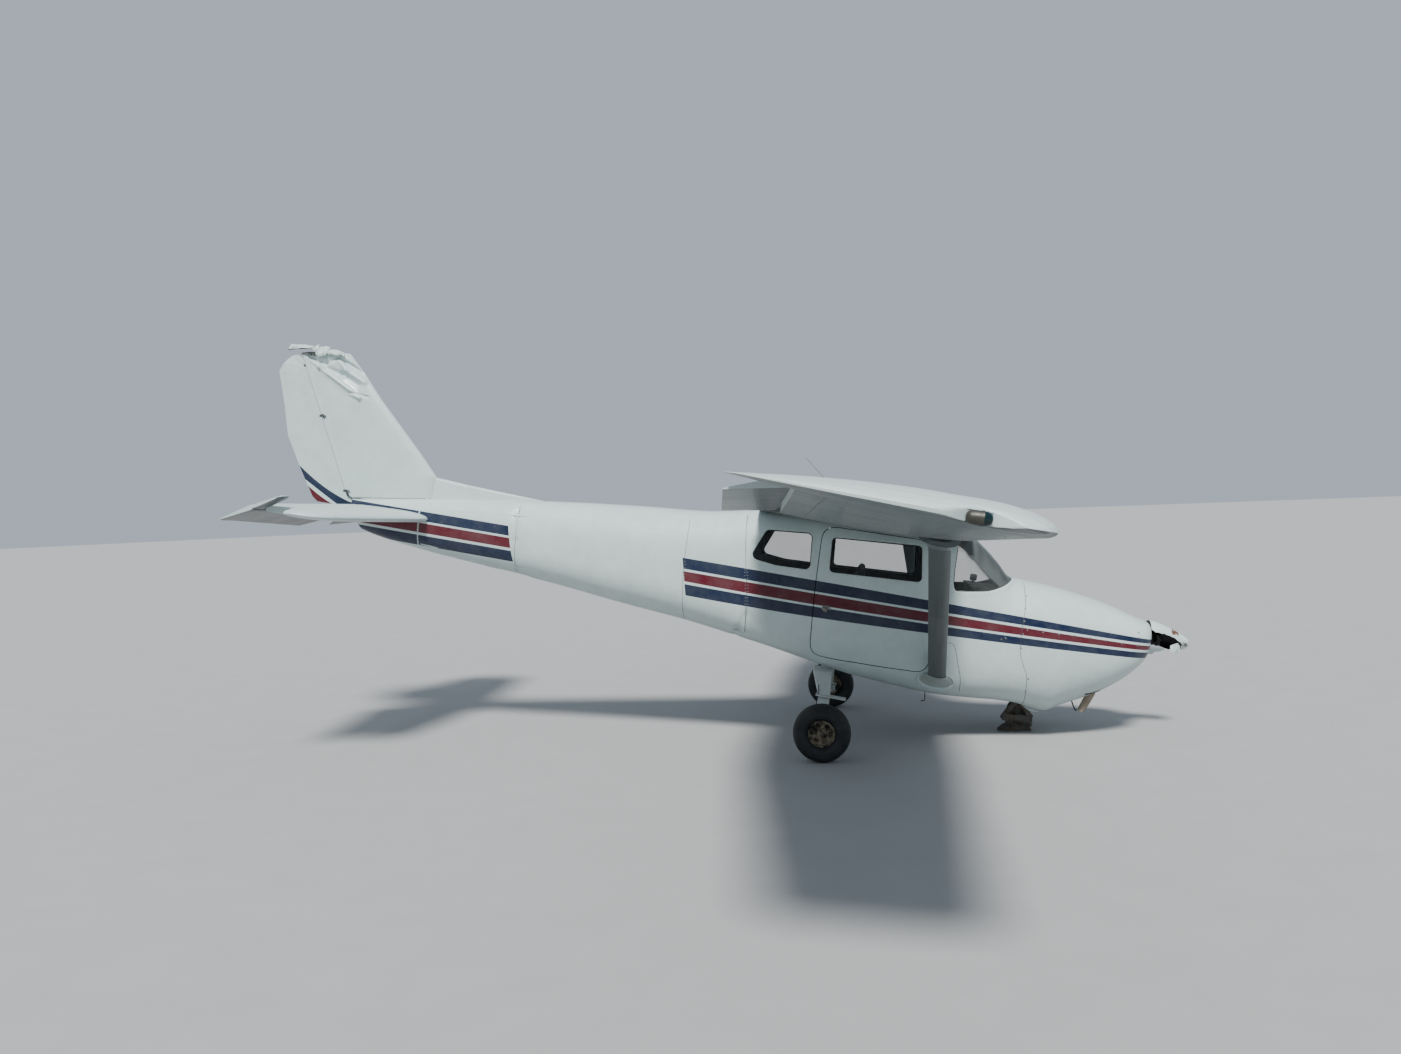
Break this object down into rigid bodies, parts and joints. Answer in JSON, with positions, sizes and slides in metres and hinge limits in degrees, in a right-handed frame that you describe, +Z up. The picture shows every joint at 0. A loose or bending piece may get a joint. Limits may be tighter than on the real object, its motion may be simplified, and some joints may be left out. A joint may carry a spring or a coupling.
{
  "type": "light aircraft",
  "caption": "High-wing strut-braced light aircraft with swept fin, resting nose down on its main wheels and a broken nose leg; doors, wheels, propeller hub and flight controls move.",
  "frame": {"origin": "centre of the bounding box on the ground under the parked aircraft", "axes": "+X forward, +Y to the left wing, +Z up"},
  "size_m": [7.7698, 11.024, 3.5392],
  "materials": {
    "body_paint": "weathered pale green-white gloss paint over aluminium sheet, with navy and maroon bands",
    "strut_paint": "dull grey-green paint",
    "gear_paint": "weathered light grey paint over spring steel",
    "clear_acrylic": "clear, slightly crazed acrylic",
    "bare_steel": "dark dirty steel",
    "engine_iron": "dark oily castings",
    "rusty_steel": "rusty steel tube",
    "hub_casting": "tan, rust stained casting",
    "tyre_rubber": "matt black rubber",
    "red_lens": "red lens in a bronze-grey housing",
    "green_lens": "green lens in a bronze-grey housing",
    "black_trim": "matt black trim",
    "upholstery": "dark worn cloth"
  },
  "bodies": {
    "airframe": {"cabin_roof": "body_paint", "cabin_body": "body_paint", "windshield": "clear_acrylic", "rear_window_left": "clear_acrylic", "rear_window_right": "clear_acrylic", "tailcone": "body_paint", "fin": "body_paint", "fin_cap": "body_paint", "dorsal_fillet": "body_paint", "tailplane_left": "body_paint", "tailplane_right": "body_paint", "wing_left": "body_paint", "wing_right": "body_paint", "nav_light_left": "red_lens", "nav_light_right": "green_lens", "strut_left": "strut_paint", "strut_right": "strut_paint", "strut_cuff_left": "body_paint", "strut_cuff_right": "body_paint", "firewall": "bare_steel", "engine_block": "engine_iron", "cowl_upper": "body_paint", "cowl_lower": "body_paint", "gear_leg_left": "gear_paint", "gear_leg_right": "gear_paint", "nose_leg_stump": "bare_steel", "exhaust_stack": "rusty_steel", "cabin_floor": "black_trim", "baggage_wall": "black_trim", "instrument_panel": "black_trim", "control_wheel_left": "black_trim", "control_wheel_right": "black_trim", "chair_left": "upholstery", "chair_right": "upholstery", "rear_bench": "upholstery", "antenna": "bare_steel"},
    "main_wheel_left": {"wheel_hub_left": "hub_casting", "tyre_left": "tyre_rubber"},
    "main_wheel_right": {"wheel_hub_right": "hub_casting", "tyre_right": "tyre_rubber"},
    "propeller": {"propeller_hub": "bare_steel", "spinner_shell": "body_paint"},
    "door_left": {"door_left": "body_paint", "door_glass_left": "clear_acrylic"},
    "door_right": {"door_right": "body_paint", "door_glass_right": "clear_acrylic"},
    "aileron_left": {"aileron_left": "body_paint"},
    "aileron_right": {"aileron_right": "body_paint"},
    "flap_left": {"flap_left": "body_paint"},
    "flap_right": {"flap_right": "body_paint"},
    "elevator": {"elevator_left": "body_paint", "elevator_right": "body_paint", "elevator_tube": "bare_steel"},
    "rudder": {"rudder": "body_paint"}
  },
  "joints": [
    {"name": "main_wheel_left_spin", "type": "hinge", "parent": "airframe", "child": "main_wheel_left", "pos_m": [0.98409, 1.092, 0.215], "axis": [0, 1, 0], "continuous": true},
    {"name": "main_wheel_right_spin", "type": "hinge", "parent": "airframe", "child": "main_wheel_right", "pos_m": [0.98409, -1.092, 0.215], "axis": [0, 1, 0], "continuous": true},
    {"name": "propeller_spin", "type": "hinge", "parent": "airframe", "child": "propeller", "pos_m": [3.59856, 0, 0.74439], "axis": [0.983, 0, -0.1834], "continuous": true},
    {"name": "door_left_hinge", "type": "hinge", "parent": "airframe", "child": "door_left", "pos_m": [1.84944, 0.549, 0.86733], "axis": [-0.1834, 0, -0.983], "range_deg": [0, 75]},
    {"name": "door_right_hinge", "type": "hinge", "parent": "airframe", "child": "door_right", "pos_m": [1.84944, -0.549, 0.86733], "axis": [0.1834, 0, 0.983], "range_deg": [0, 75]},
    {"name": "aileron_right_hinge", "type": "hinge", "parent": "airframe", "child": "aileron_right", "pos_m": [0.94727, -3.8775, 1.94284], "axis": [-0.1017, 0.9946, -0.0207], "range_deg": [-1, 33]},
    {"name": "aileron_left_hinge", "type": "hinge", "parent": "airframe", "child": "aileron_left", "pos_m": [0.94727, 3.8775, 1.94284], "axis": [0.1017, 0.9946, 0.0207], "range_deg": [-33, 1]},
    {"name": "flap_right_hinge", "type": "hinge", "parent": "airframe", "child": "flap_right", "pos_m": [0.80516, -1.5475, 1.88919], "axis": [-0.0048, 0.9997, -0.0257], "range_deg": [-40, 0]},
    {"name": "flap_left_hinge", "type": "hinge", "parent": "airframe", "child": "flap_left", "pos_m": [0.80516, 1.5475, 1.88919], "axis": [0.0048, 0.9997, 0.0257], "range_deg": [-40, 0]},
    {"name": "elevator_hinge", "type": "hinge", "parent": "airframe", "child": "elevator", "pos_m": [-3.14513, 0, 2.04042], "axis": [0, 1, 0], "range_deg": [0, 56]},
    {"name": "rudder_hinge", "type": "hinge", "parent": "airframe", "child": "rudder", "pos_m": [-3.44385, 0, 2.7701], "axis": [-0.2819, 0, 0.9594], "range_deg": [-17.5, 17.5]}
  ],
  "couplings": [
    {"joint": "aileron_left_hinge", "follows": "aileron_right_hinge", "ratio": -1},
    {"joint": "flap_left_hinge", "follows": "flap_right_hinge", "ratio": 1}
  ]
}
